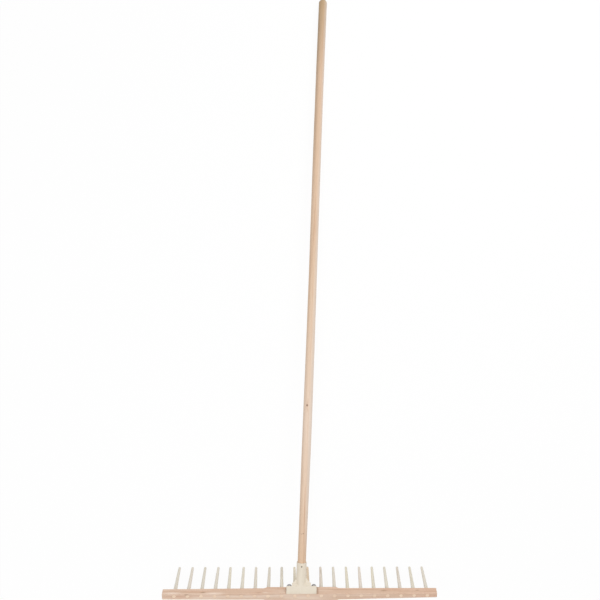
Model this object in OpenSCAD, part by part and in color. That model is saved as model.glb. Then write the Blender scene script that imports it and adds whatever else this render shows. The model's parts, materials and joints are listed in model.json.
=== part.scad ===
// Wooden rake: a long round handle in a moulded socket, bolted to a wooden beam with round wooden teeth.
// It lies as it is put down: tooth tips and the far end of the handle on the floor, which is z = 0.
// X runs along the beam, Y towards the far end of the handle, Z up.

/* [Handle] */
// Length of the wooden handle
handle_len = 1800; // [1200:10:2200]
// Diameter of the end that sits in the socket
spigot_d = 25; // [20:0.5:32]
// Diameter at the thickest place
swell_d = 28; // [21:0.2:36]
// Thickest place, above the lower end
swell_at = 460; // [200:10:640]
// Diameter of the straight upper stretch
grip_d = 25; // [18:0.5:30]
// Where the straight upper stretch starts, above the lower end
grip_at = 950; // [660:10:1100]
// Length of the bevel at the far end
bevel_len = 9; // [2:0.5:20]
// How far that bevel cuts in
bevel_in = 5.5; // [1:0.5:8]
// How far the handle leans out of square to the right, in degrees
handle_lean = 1.6; // [0:0.1:3]

/* [Beam] */
// Depth of the middle of the beam, along the teeth
beam_deep = 27.5; // [24:0.5:36]
// Thickness of the middle of the beam, along the handle
beam_thick = 27; // [24:0.5:36]
// Length of the full-section middle of the beam
block_len = 205; // [140:5:240]
// Length of the slope from the middle down to an arm
shoulder_len = 12; // [4:1:20]
// Depth of an arm next to its shoulder
arm_deep = 23; // [19:0.5:24]
// Thickness of an arm next to its shoulder
arm_thick = 23; // [20:0.5:24]
// Depth of the left end of the beam
left_end_deep = 20.5; // [14:0.5:23]
// Thickness of the left end of the beam
left_end_thick = 20.5; // [17:0.5:24]
// Depth of the right end of the beam
right_end_deep = 22; // [14:0.5:23]
// Thickness of the right end of the beam
right_end_thick = 15.5; // [15.5:0.5:24]
// Wood beyond the left-most tooth's axis
left_end_len = 36; // [16:1:60]
// Wood beyond the right-most tooth's axis
right_end_len = 29; // [16:1:60]
// Bevel along the long edges of the beam
beam_bevel = 1.2; // [0.4:0.2:3]

/* [Teeth] */
// Teeth on each side of the handle
tooth_count_a_side = 10; // [4:1:12]
// Distance from tooth to tooth
tooth_pitch = 40; // [34:1:50]
// Length of a tooth, from its root on the beam's back to its tip
tooth_len = 115; // [80:1:150]
// Diameter of a tooth in its hole
tooth_d = 11.6; // [8:0.2:12]
// Diameter of a tooth near its tip
tooth_tip_d = 7.6; // [5:0.2:9]
// Where a tooth's taper starts, from its root
tooth_shank = 19; // [12:1:24]
// Depth of the teeth's axes below the face that carries the socket
tooth_inset = 8.5; // [7:0.5:9]
// Angle between a tooth and the square to the handle, in degrees
tooth_rake = 26; // [16:1:28]

/* [Socket] */
// Depth of the handle in the socket
handle_in = 69.5; // [40:0.5:100]
// Wall of the socket's tube
socket_wall = 2.35; // [1.8:0.05:5]
// Plastic left under the bore, square to the beam
socket_floor = 6; // [2:0.5:12]
// How far the tube stands proud of the front wall
tube_proud = 0.6; // [0.3:0.1:2]
// Thickness of the foot on the beam
foot_thick = 5; // [3:0.5:7]
// Thickness of the front wall
wall_thick = 3; // [2:0.25:4]
// Height of the front wall, along the handle
wall_high = 23; // [14:1:30]
// Foot beyond a bolt's axis, towards its end
foot_margin = 8.5; // [8:0.5:16]
// Radius of the hollow curve of a gusset
gusset_r = 36; // [12:1:40]
// Thickness of the gussets
gusset_thick = 4; // [2:0.5:6]
// Height of the gussets' middle plane above the handle's axis
gusset_up = 5; // [2:0.5:6]
// How far behind the wall's front the slope down to the gussets starts
slope_lip = 1; // [0.5:0.25:2]

/* [Fasteners] */
// Bolt diameter
bolt_d = 8; // [6:0.5:8]
// How far each bolt stands inside the middle of its gap between two teeth
bolt_off = 3; // [0:0.5:4]
// Width across the flats of bolt heads and nuts
hex_w = 13; // [12.5:0.5:14]
// Height of a bolt head
head_high = 5.3; // [3.5:0.1:7]
// Height of a nut's hexagon
nut_high = 8; // [5:0.5:10]
// Diameter of a nut's dome, on top of its hexagon
dome_d = 11.6; // [9:0.1:12.4]
// Height of the dome above the hexagon
dome_high = 3.8; // [2:0.1:5.8]
// Washer diameter
washer_d = 16; // [15:0.5:16]
// Washer thickness
washer_thick = 1.6; // [1:0.1:2]
// Diameter of the screw's head
screw_head_d = 5.4; // [4:0.2:8]
// Height of the screw's head
screw_head_high = 1.8; // [1:0.1:3]
// Diameter of the screw
screw_d = 3; // [2.5:0.1:4.5]
// Length of the screw
screw_len = 16; // [10:1:20]
// Screw below the socket's rim
screw_drop = 9.5; // [5:0.5:20]

/* [Fits] */
// Gap all round between handle and socket
handle_fit = 0.15; // [0.05:0.05:0.4]
// Gap under the end of the handle
handle_gap = 0.5; // [0.2:0.1:2]
// Gap all round between a tooth and its hole
tooth_fit = 0.05; // [0.02:0.01:0.2]
// Gap all round a bolt in the holes that it passes through
bolt_fit = 0.25; // [0.1:0.05:0.5]
// Gap all round a bolt or screw in its thread
thread_fit = 0.05; // [0.02:0.01:0.1]
// Gap between a nut and the front wall, and between a washer and a gusset
nut_gap = 0.3; // [0.2:0.1:1]

/* [Hidden] */
round_fn = 96;
small_fn = 48;
profile_steps = 12;
spigot_bevel = 1.5;
thread_spare = 1;
cut = 200;
nudge = 1;

tooth_count = 2 * tooth_count_a_side;
last_tooth_x = (tooth_count_a_side - 0.5) * tooth_pitch;
left_x = -last_tooth_x - left_end_len;
right_x = last_tooth_x + right_end_len;
arm_start = block_len / 2 + shoulder_len;

bore_r = spigot_d / 2 + handle_fit;
socket_r = bore_r + socket_wall;
wall_front = socket_r - tube_proud;

// The handle's axis meets the socket face this far from the beam's back
axis_in = wall_front / cos(tooth_rake);
// Height of the beam's front edge and of the socket's rim, along the handle from that point
edge_y = -axis_in * sin(tooth_rake);
bore_y = (socket_floor + bore_r * sin(tooth_rake)) / cos(tooth_rake);
rim_y = bore_y + handle_gap + handle_in;
wall_top = edge_y + wall_high;

// Bolts stand clear of the front wall, and each between two teeth
nut_y = foot_thick + washer_thick;
dome_r = (pow(dome_d / 2, 2) + pow(dome_high, 2)) / (2 * dome_high);
dome_mid = nut_high + dome_high - dome_r;
nut_reach = max(hex_w / 2 + (nut_y + nut_high) * sin(tooth_rake), dome_r + (nut_y + dome_mid) * sin(tooth_rake));
bolt_in = (wall_thick + nut_gap + nut_reach) / cos(tooth_rake);
bolt_x = tooth_pitch - bolt_off;
bolt_hole_r = bolt_d / 2 + bolt_fit;
thread_len = nut_high + thread_spare;
foot_half = bolt_x + foot_margin;
gusset_x = bolt_x - max(washer_d / 2, hex_w / 2 / cos(30)) - nut_gap;
// The gussets' hollow curves end this far inside the leaning tube
gusset_sunk = 2.5;
curve_x = socket_r - abs(rim_y - wall_top - gusset_r) * tan(handle_lean) - gusset_sunk + gusset_r;

// How the rake lies: the round tips and the lower edge of the far bevel touch the floor
tip_r = tooth_tip_d / 2;
tip_in = tooth_len - tip_r - axis_in;
tip_y = tip_in * sin(tooth_rake) - tooth_inset * cos(tooth_rake);
tip_z = -tip_in * cos(tooth_rake) - tooth_inset * sin(tooth_rake);
bevel_y = rim_y + (handle_len - handle_in - bevel_len) * cos(handle_lean);
end_y = rim_y + (handle_len - handle_in) * cos(handle_lean);
span_y = bevel_y - tip_y;
span_z = -tip_z - grip_d / 2;
rest_tilt = atan2(span_z, span_y) + asin(tip_r / norm([span_y, span_z]));
head_tilt = tooth_rake - rest_tilt;
lift = tip_y * sin(rest_tilt) - tip_z * cos(rest_tilt) + tip_r;

// The origin is midway between the beam's ends, and midway between the far end and the bolt heads
mid_x = (left_x + right_x) / 2;
head_back = beam_thick + washer_thick + head_high;
near_y = -head_back * cos(head_tilt) - (axis_in - bolt_in + hex_w / 2) * sin(head_tilt);
far_y = end_y * cos(rest_tilt);
mid_y = (near_y + far_y) / 2;

function two(i) = str(i < 10 ? "0" : "", i);
function tooth_name(i) = str("tooth_", two(i));
SIDES = [["left", -1], ["right", 1]];

// Where the teeth and bolts stand along the beam
function tooth_x(i) = (i - tooth_count_a_side - 0.5) * tooth_pitch;

// A point given on the beam, out of its socket face and out of its back, seen from the square handle axis
function beam_point(y, z) = [
    edge_y + y * cos(tooth_rake) - z * sin(tooth_rake), wall_front + y * sin(tooth_rake) + z * cos(tooth_rake)
];

// Smooth step from 0 to 1
function ease(u) = u * u * (3 - 2 * u);

// Points of a smooth rise in radius between two heights, as [radius, height]
function flare(r0, z0, r1, z1) =
    [for (i = [0:profile_steps]) let (u = i / profile_steps) [r0 + (r1 - r0) * ease(u), z0 + (z1 - z0) * u]];

// Children drawn along the square handle axis (Y), with the socket face at the origin
module lying() {
    translate([-mid_x, -mid_y, lift]) rotate([-rest_tilt, 0, 0]) children();
}

// Children drawn on the beam: Y out of the socket face, Z out of the back, origin on their shared edge
module on_beam() {
    lying() rotate([tooth_rake, 0, 0]) translate([0, 0, axis_in]) children();
}

// Children drawn on the handle's leaning axis (Z), with the middle of the socket's rim at the origin
module on_rim() {
    lying() translate([0, rim_y, 0]) rotate([0, 0, -handle_lean]) rotate([-90, 0, 0]) children();
}

// Children drawn outward (Z) through the front of the tube, at the screw
module at_screw() {
    on_rim() translate([0, 0, -screw_drop]) rotate([90, 0, 0]) children();
}

// Children drawn along a bolt (Z towards the nut), with the socket face at the origin
module at_bolt(side) {
    on_beam() translate([side * bolt_x, 0, -bolt_in]) rotate([-90, 0, 0]) children();
}

module ring(outer_r, inner_r, height) {
    difference() {
        cylinder(r = outer_r, h = height, $fn = small_fn);
        translate([0, 0, -nudge]) cylinder(r = inner_r, h = height + 2 * nudge, $fn = small_fn);
    }
}

module hexagon(height) {
    cylinder(r = hex_w / 2 / cos(30), h = height, $fn = 6);
}

// Handle: one turned stick
module handle() {
    color("#E3C3A6") difference() {
        on_rim() translate([0, 0, -handle_in]) rotate_extrude($fn = round_fn) polygon(concat(
            [[0, 0], [spigot_d / 2 - spigot_bevel, 0], [spigot_d / 2, spigot_bevel]],
            flare(spigot_d / 2, handle_in, swell_d / 2, swell_at),
            [[grip_d / 2, grip_at], [grip_d / 2, handle_len - bevel_len]],
            [[grip_d / 2 - bevel_in, handle_len], [0, handle_len]]
        ));
        at_screw() translate([0, 0, socket_r - screw_len - thread_spare])
            cylinder(r = screw_d / 2 + thread_fit, h = screw_len, $fn = small_fn);
    }
}

// One bevelled section of the beam, as points at the distance x from its middle
function beam_section(x, thick, deep) = let (b = beam_bevel) [
    [x, -b, 0], [x, 0, -b], [x, 0, b - deep], [x, -b, -deep],
    [x, b - thick, -deep], [x, -thick, b - deep], [x, -thick, -b], [x, b - thick, 0]
];

// A solid through sections of the same number of points
module loft(sections) {
    n = len(sections[0]);
    last = len(sections) - 1;
    polyhedron(
        points = [for (s = sections) each s],
        faces = concat(
            [[for (i = [0:n - 1]) i]],
            [for (k = [0:last - 1], i = [0:n - 1]) let (a = k * n, b = a + n, j = (i + 1) % n)
                [a + i, b + i, b + j, a + j]],
            [[for (i = [n - 1:-1:0]) last * n + i]]
        ),
        convexity = 4
    );
}

// Beam: straight socket face and back, relieved on its two other faces towards the ends
module beam() {
    color("#D8B495") difference() {
        on_beam() loft([
            beam_section(left_x, left_end_thick, left_end_deep),
            beam_section(-arm_start, arm_thick, arm_deep),
            beam_section(-block_len / 2, beam_thick, beam_deep),
            beam_section(block_len / 2, beam_thick, beam_deep),
            beam_section(arm_start, arm_thick, arm_deep),
            beam_section(right_x, right_end_thick, right_end_deep)
        ]);
        on_beam() for (i = [1:tooth_count]) translate([tooth_x(i), -tooth_inset, -beam_deep - nudge])
            cylinder(r = tooth_d / 2 + tooth_fit, h = beam_deep + 2 * nudge, $fn = small_fn);
        for (s = SIDES) at_bolt(s[1]) translate([0, 0, -beam_thick - nudge])
            cylinder(r = bolt_hole_r, h = beam_thick + 2 * nudge, $fn = small_fn);
    }
}

// Tooth: a peg with a straight shank, a taper and a round tip
module tooth(i) {
    color("#D9D2C0") on_beam() translate([tooth_x(i), -tooth_inset, 0]) rotate([180, 0, 0])
        union() {
            rotate_extrude($fn = small_fn) polygon([
                [0, 0], [tooth_d / 2, 0], [tooth_d / 2, tooth_shank], [tip_r, tooth_len - tip_r],
                [0, tooth_len - tip_r]
            ]);
            translate([0, 0, tooth_len - tip_r]) sphere(r = tip_r, $fn = small_fn);
        }
}

// Section of the socket's foot and front wall, drawn a little too far down, into the beam
module foot_section() {
    polygon([
        [edge_y - wall_thick, wall_front],
        [wall_top, wall_front],
        [wall_top, wall_front - wall_thick],
        [edge_y + (foot_thick + wall_thick * sin(tooth_rake)) / cos(tooth_rake), wall_front - wall_thick],
        beam_point(foot_thick, -beam_deep),
        beam_point(-nudge, -beam_deep)
    ]);
}

// Flat outline of the two gussets, hollow towards the foot's ends
module gusset_outline() {
    difference() {
        translate([-gusset_x, edge_y]) square([2 * gusset_x, wall_high + gusset_r]);
        for (s = SIDES) translate([s[1] * curve_x, wall_top + gusset_r])
            circle(r = gusset_r, $fn = round_fn);
        for (s = SIDES) translate([s[1] * (curve_x + gusset_x), wall_top + gusset_r])
            square([2 * gusset_x, 2 * gusset_r], center = true);
    }
}

// Section of the slope that runs from the top of the front wall down to the gussets
module slope_section() {
    gusset_top = gusset_up + gusset_thick / 2;
    high = wall_front - slope_lip - gusset_top;
    polygon([
        [wall_top, gusset_top + high], [wall_top + high, gusset_top], [wall_top + high, gusset_up],
        [wall_top - high, gusset_up], [wall_top - high, gusset_top]
    ]);
}

// Socket: tube, front wall, gussets, slope and foot in one moulding
module socket() {
    color("#E6DBCA") difference() {
        union() {
            on_rim() translate([0, 0, -rim_y - socket_r]) cylinder(r = socket_r, h = rim_y + socket_r, $fn = round_fn);
            lying() rotate([90, 0, 90]) translate([0, 0, -foot_half]) linear_extrude(2 * foot_half) foot_section();
            lying() translate([0, 0, gusset_up - gusset_thick / 2]) linear_extrude(gusset_thick) gusset_outline();
            intersection() {
                lying() linear_extrude(wall_front) gusset_outline();
                lying() rotate([90, 0, 90]) translate([0, 0, -gusset_x - nudge])
                    linear_extrude(2 * gusset_x + 2 * nudge) slope_section();
            }
        }
        on_beam() translate([-cut / 2, -cut, -cut / 2]) cube([cut, cut, cut]);
        on_rim() translate([0, 0, -handle_in - handle_gap])
            cylinder(r = bore_r, h = handle_in + handle_gap + nudge, $fn = round_fn);
        at_screw() cylinder(r = screw_d / 2 + bolt_fit, h = socket_r + nudge, $fn = small_fn);
        for (s = SIDES) at_bolt(s[1]) translate([0, 0, -nudge])
            cylinder(r = bolt_hole_r, h = foot_thick + 2 * nudge, $fn = small_fn);
    }
}

// Screw through the tube into the handle
module socket_screw() {
    color("#8F8A83") at_screw() union() {
        translate([0, 0, socket_r - screw_len]) cylinder(r = screw_d / 2, h = screw_len, $fn = small_fn);
        translate([0, 0, socket_r]) cylinder(r = screw_head_d / 2, h = screw_head_high, $fn = small_fn);
    }
}

// Hexagon-headed bolt, its head on the beam's far side
module bolt(side) {
    color("#A5A29C") at_bolt(side) translate([0, 0, -beam_thick - washer_thick]) union() {
        translate([0, 0, -head_high]) hexagon(head_high);
        cylinder(r = bolt_d / 2, h = beam_thick + washer_thick + nut_y + thread_len - thread_spare, $fn = small_fn);
    }
}

// Domed nut, blind, on the foot's washer
module nut(side) {
    color("#A5A29C") at_bolt(side) translate([0, 0, nut_y]) difference() {
        union() {
            hexagon(nut_high);
            intersection() {
                translate([0, 0, dome_mid]) sphere(r = dome_r, $fn = small_fn);
                translate([0, 0, nut_high / 2]) cylinder(r = hex_w / 2, h = nut_high + dome_high, $fn = small_fn);
            }
        }
        translate([0, 0, -nut_high]) cylinder(r = bolt_d / 2 + thread_fit, h = nut_high + thread_len, $fn = small_fn);
    }
}

module washer_top(side) {
    color("#ABA8A2") at_bolt(side) translate([0, 0, foot_thick]) ring(washer_d / 2, bolt_hole_r, washer_thick);
}

module washer_back(side) {
    color("#ABA8A2") at_bolt(side) translate([0, 0, -beam_thick - washer_thick])
        ring(washer_d / 2, bolt_hole_r, washer_thick);
}

handle();
beam();
socket();
socket_screw();
for (i = [1:tooth_count]) tooth(i);
for (s = SIDES) {
    bolt(s[1]);
    nut(s[1]);
    washer_top(s[1]);
    washer_back(s[1]);
}
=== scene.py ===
"""Wooden hay rake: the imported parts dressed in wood, moulded plastic and zinc, on a plain floor.

Everything is in metres. X runs along the beam, Y towards the far end of the handle, and Z up.
"""

import json
import math

import bpy
import numpy as np
from bpy.props import FloatProperty, FloatVectorProperty, IntProperty, PointerProperty
from mathutils import Matrix, Vector


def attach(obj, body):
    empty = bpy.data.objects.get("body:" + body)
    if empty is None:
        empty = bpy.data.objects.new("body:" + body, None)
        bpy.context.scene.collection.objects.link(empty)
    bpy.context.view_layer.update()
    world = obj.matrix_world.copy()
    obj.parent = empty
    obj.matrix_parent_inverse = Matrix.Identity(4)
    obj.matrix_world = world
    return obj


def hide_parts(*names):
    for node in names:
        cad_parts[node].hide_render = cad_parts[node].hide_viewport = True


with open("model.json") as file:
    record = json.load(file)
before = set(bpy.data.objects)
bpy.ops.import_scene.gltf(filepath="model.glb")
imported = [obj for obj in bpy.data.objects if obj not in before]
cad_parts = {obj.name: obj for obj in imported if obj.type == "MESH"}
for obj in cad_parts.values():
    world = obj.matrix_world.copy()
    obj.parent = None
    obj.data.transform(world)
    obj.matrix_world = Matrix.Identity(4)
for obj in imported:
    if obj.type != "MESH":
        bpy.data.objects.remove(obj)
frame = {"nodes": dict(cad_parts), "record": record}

bl_info = {
    "name": "Wooden hay rake",
    "version": (1, 0, 0),
    "blender": (4, 5, 0),
    "location": "3D View > Sidebar > Hay Rake",
    "description": "Builds the handle, beam, teeth, socket and fasteners of a wooden hay rake",
    "category": "Object",
}

MM = 0.001
BODY = "root"

# The photograph's width, focal length and optical centre, in its own pixels
PICTURE = 600
FOCAL_LENGTH = 749.14
CENTRE_ACROSS = 328.22
CENTRE_DOWN = 271.23


# Where the pieces lie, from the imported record

MOUNTS = {mount["name"]: mount for mount in frame["record"]["mounts"]}
HANDLE_END = np.array(MOUNTS["handle_end"]["pos_m"])
ALONG = np.array(MOUNTS["handle_end"]["axis"])
ALONG = ALONG / np.linalg.norm(ALONG)
# Out of the front of the socket's tube, and to the right of the handle
UP = np.array([0.0, -ALONG[2], ALONG[1]])
UP = UP / np.linalg.norm(UP)
RIGHT = np.cross(ALONG, UP)

X_AXIS = np.array([1.0, 0.0, 0.0])
TOOTH_RAKE = math.radians(26)
HEAD_TILT = TOOTH_RAKE - math.atan2(UP[1], UP[2])
# Out of the beam's face that carries the socket, and out of its back, where the root ends show
FACE_OUT = np.array([0.0, math.cos(HEAD_TILT), math.sin(HEAD_TILT)])
BACK_OUT = np.array([0.0, -math.sin(HEAD_TILT), math.cos(HEAD_TILT)])
HEAD_AXES = (X_AXIS, FACE_OUT, BACK_OUT)
TOOTH_AXES = (X_AXIS, -FACE_OUT, -BACK_OUT)
BOLT_AXES = (BACK_OUT, X_AXIS, FACE_OUT)

HANDLE_LENGTH = 1800 * MM
HANDLE_IN_SOCKET = 69.5 * MM
HANDLE_FOOT = HANDLE_END - HANDLE_LENGTH * ALONG
RIM = HANDLE_FOOT + HANDLE_IN_SOCKET * ALONG
# The edge between the beam's face and back: its way below the rim and in front of the handle's axis, and
# the place of the head's middle
EDGE_BELOW_RIM = 89.869 * MM
EDGE_IN_FRONT = 14.4 * MM
HEAD_MIDDLE_X = 3.5 * MM
EDGE = RIM - EDGE_BELOW_RIM * np.array([0.0, UP[2], -UP[1]]) + EDGE_IN_FRONT * UP
EDGE[0] = HEAD_MIDDLE_X

FOOT_HALF = 45.5 * MM
BOLT_ACROSS = 37 * MM
BOLT_BELOW_BACK = 18.024 * MM
FOOT_THICKNESS = 5 * MM
WASHER_THICKNESS = 1.6 * MM
TUBE_RADIUS = 15 * MM
SCREW_BELOW_RIM = 9.5 * MM
# Of 130,000 seeds tried, the one whose strays lie nearest to those measured on the photographed teeth
TOOTH_SEED = 25976
# Waves of the handle's sanded surface: length in millimetres, turns round it, phase and weight
HANDLE_WAVES = ((173, 0, 0.6, 1), (91, 2, 1.9, 1), (247, -1, 4.1, 1), (61, 3, 0, 0.6))

# Marks on the handle's wood: to the right, out of its underside and along from its foot, in millimetres
KNOT_AT = (-1.8, -13.4, 541)
SCAR_AT = (1.2, -12.7, 157.6)
SCRATCH_AT = (-4.6, -11.6, 155.6)
# Marks on the beam's wood: out of its face, out of its back and along it, then the half sizes, all in
# millimetres, and then the strength
DARK_STREAKS = (
    ((-2, 0, -343), (3, 4, 10), 0.9), ((0, -7, -294), (4, 4, 12), 0.7), ((-3, 0, -315), (1.6, 2, 34), 0.35),
    ((0, -12, 249), (4, 5, 16), 0.55), ((0, -13, 350), (3, 3, 9), 0.7), ((0, -6, -128), (3, 3, 14), 0.45),
    ((-3, 0, 118), (1.5, 3, 22), 0.35), ((0, -22, -414), (9, 8, 9), 0.45),
)
# Pale streaks of the wood; those near the edge between face and back are painted highlights on the rounded
# edge
PALE_STREAKS_AND_HIGHLIGHTS = (
    ((0, -4.5, -388), (5, 7, 44), 1.0), ((0, -3.5, -262), (5, 7, 48), 1.0),
    ((0, -7, -108), (3, 3.5, 16), 0.8), ((-15, 0, 20), (16, 4, 110), 0.6),
)
# Colours without a setting, as linear light
# Grey of the handled wood, which also serves as painted shade on the handle's left side
HANDLED_GREY_AND_SHADE = (0.36, 0.27, 0.18)
STREAK_BROWN = (0.30, 0.17, 0.09)
SPECK_BROWN = (0.10, 0.07, 0.05)
SOIL_BLACK = (0.035, 0.028, 0.02)

FLOOR_RADIUS = 40.0
KEY_LAMP_AT = (1.3, 1.7, 2.1)
KEY_LAMP_SIZE = 1.6
FILL_LAMP_AT = (-0.6, -0.9, 2.7)
FILL_LAMP_SIZE = 1.8
LAMP_AIM = (0.0, -0.4, 0.05)


# Sums on points

def placed(points, origin, axes):
    """Points given along three axes from an origin: origin + x * axes[0] + y * axes[1] + z * axes[2]."""
    return np.asarray(origin) + np.asarray(points) @ np.asarray(axes)


def points_of(*parts):
    """Points from their two or three parts, which are arrays or numbers that are spread to one shape."""
    return np.stack(np.broadcast_arrays(*parts), axis=-1)


def angles(sides):
    """Even angles round a circle: 2 pi j / sides."""
    return np.arange(sides) * 2 * np.pi / sides


def ease(u):
    """Smooth step from 0 to 1: 3u^2 - 2u^3, held level outside 0 to 1."""
    u = np.clip(u, 0.0, 1.0)
    return u * u * (3.0 - 2.0 * u)


def lathe(profile, sides, flats=None):
    """Rings of a turned shape about z: radius r and height z of the profile, swept through the angle a.

    The point is (r cos a, r sin a, z). With flats, r is cut back to a hexagon's side, flats / 2 / cos(a'),
    where a' is the angle from the middle of the nearest side.
    """
    profile = np.asarray(profile, float)
    a = angles(sides)
    r = profile[:, :1]
    if flats:
        off_middle = (a + np.pi / 6) % (np.pi / 3) - np.pi / 6
        r = np.minimum(r, flats / 2 / np.cos(off_middle))
    return points_of(r * np.cos(a), r * np.sin(a), profile[:, 1:2])


def corner_arc(r_mid, z_mid, radius, start_deg, end_deg, steps=5):
    """Profile points round a corner: (r_mid + radius cos t, z_mid + radius sin t)."""
    t = np.radians(np.linspace(start_deg, end_deg, steps))
    return points_of(r_mid + radius * np.cos(t), z_mid + radius * np.sin(t))


# Mesh making

def ring_mesh(name, rings, looped=False):
    """Skin over rings of points, an array of rings by sides by 3.

    Point (k, j) joins (k, j+1), (k+1, j+1) and (k+1, j), with j wrapping round. The two end rings close to
    a single point each, or, if looped, the last ring joins the first.
    """
    body = rings if looped else rings[1:-1]
    rows, sides = body.shape[:2]
    k = np.arange(rows if looped else rows - 1)[:, None]
    j = np.arange(sides)
    next_k, next_j = (k + 1) % rows, (j + 1) % sides
    corners = (k * sides + j, k * sides + next_j, next_k * sides + next_j, next_k * sides + j)
    quads = points_of(*corners).reshape(-1, 4)
    if looped:
        return new_mesh(name, body.reshape(-1, 3), quads, np.zeros((0, 3), int))
    verts = np.concatenate([body.reshape(-1, 3), rings[:1].mean(axis=1), rings[-1:].mean(axis=1)])
    first_pole, last_row = rows * sides, (rows - 1) * sides
    start_fan = points_of(first_pole, next_j, j)
    end_fan = points_of(first_pole + 1, last_row + j, last_row + next_j)
    return new_mesh(name, verts, quads, np.concatenate([start_fan, end_fan]))


def new_mesh(name, verts, quads, tris):
    """Mesh from whole arrays of corners, four-sided faces and three-sided faces."""
    mesh = bpy.data.meshes.new(name)
    loops = np.concatenate([quads.ravel(), tris.ravel()]).astype(np.int32)
    totals = np.concatenate([np.full(len(quads), 4), np.full(len(tris), 3)]).astype(np.int32)
    starts = np.concatenate([[0], np.cumsum(totals)[:-1]]).astype(np.int32)
    mesh.vertices.add(len(verts))
    mesh.vertices.foreach_set("co", np.asarray(verts, np.float32).ravel())
    mesh.loops.add(len(loops))
    mesh.loops.foreach_set("vertex_index", loops)
    mesh.polygons.add(len(totals))
    mesh.polygons.foreach_set("loop_start", starts)
    mesh.polygons.foreach_set("loop_total", totals)
    mesh.update(calc_edges=True)
    mesh.validate()
    return mesh


def linked(name, data):
    """New object in the scene that carries some data."""
    made = bpy.data.objects.new(name, data)
    bpy.context.scene.collection.objects.link(made)
    return made


def finished(mesh, name, material, slot, *nodes, sharp_deg=38.0):
    """A piece that stands for CAD nodes, smooth except where faces meet at more than sharp_deg."""
    mesh.polygons.foreach_set("use_smooth", np.ones(len(mesh.polygons), bool))
    mesh.set_sharp_from_angle(angle=math.radians(sharp_deg))
    mesh.materials.clear()
    mesh.materials.append(material)
    piece = linked(name, mesh)
    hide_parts(*nodes)
    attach(piece, BODY)


def baked(piece):
    """The mesh of an object with its modifiers applied."""
    depsgraph = bpy.context.evaluated_depsgraph_get()
    return bpy.data.meshes.new_from_object(piece.evaluated_get(depsgraph))


def discard(*helpers):
    """Takes helper objects and their meshes out of the file again."""
    for helper in helpers:
        mesh = helper.data
        bpy.data.objects.remove(helper)
        bpy.data.meshes.remove(mesh)


# Sizes and colours that a user may change

def length(name, description, default_mm, low_mm=0.0, high_mm=3000.0):
    """A length in metres, given here in millimetres."""
    return FloatProperty(name=name, description=description, default=default_mm * MM, min=low_mm * MM,
                         max=high_mm * MM, unit="LENGTH", subtype="DISTANCE", precision=5)


def whole(name, description, default, low, high):
    """A whole number."""
    return IntProperty(name=name, description=description, default=default, min=low, max=high)


def number(name, description, default, **more):
    """A plain number or a power."""
    return FloatProperty(name=name, description=description, default=default, **more)


def triple(name, description, default, **more):
    """Three numbers that belong together."""
    return FloatVectorProperty(name=name, description=description, default=default, size=3, **more)


def colour(name, description, srgb):
    """A colour as it looks on screen, stored as the linear colour that the shader takes."""
    return triple(name, description, tuple(linear(c / 255) for c in srgb), subtype="COLOR",
                  min=0.0, max=1.0)


def linear(c):
    """Linear light of a screen value: c / 12.92 below 0.04045, and ((c + 0.055) / 1.055)^2.4 above."""
    return c / 12.92 if c <= 0.04045 else ((c + 0.055) / 1.055) ** 2.4


class RakeHandle(bpy.types.PropertyGroup):
    """Sizes and colours of the handle"""
    spigot: length("Socket end", "Diameter of the end in the socket", 25.0)
    swell: length("Swell", "Diameter at the thickest place", 28.0)
    swell_at: length("Swell height", "Thickest place above the lower end", 460.0)
    grip: length("Grip", "Diameter of the straight upper stretch", 25.0)
    grip_at: length("Grip height", "Where the straight upper stretch starts, above the lower end", 950.0)
    bevel_length: length("Bevel length", "Length of the bevel at the far end", 9.0)
    bevel_depth: length("Bevel depth", "How far that bevel cuts in", 5.5)
    bow: length("Bow", "Slow bow to the right over the whole length", 0.44, -5, 5)
    sway: length("Sway", "Bend to the right low down and to the left high up", 0.90, -5, 5)
    ripple: length("Ripple", "Bend with three turns", -0.27, -5, 5)
    unevenness: length("Unevenness", "How far the sanded surface wanders", 0.12, 0, 1)
    low_colour: colour("Wood near the socket", "Colour of the lowest stretch", (224, 193, 164))
    swell_colour: colour("Wood at the swell", "Colour of the palest stretch", (235, 212, 192))
    middle_colour: colour("Wood in the middle", "Colour of the middle stretch", (227, 199, 172))
    grip_colour: colour("Wood of the grip", "Colour of the handled stretch", (217, 186, 159))
    end_colour: colour("Wood at the far end", "Colour of the weathered far end", (186, 158, 122))
    # Painted sheen: the paler colour of the right side, where the light falls
    painted_sheen: colour("Sheen side", "Colour of the paler right side", (224, 215, 206))
    vein_colour: colour("Veins", "Colour of the darker veins", (186, 140, 104))
    knot_colour: colour("Knot", "Colour of the pin knot", (110, 72, 48))


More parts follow.
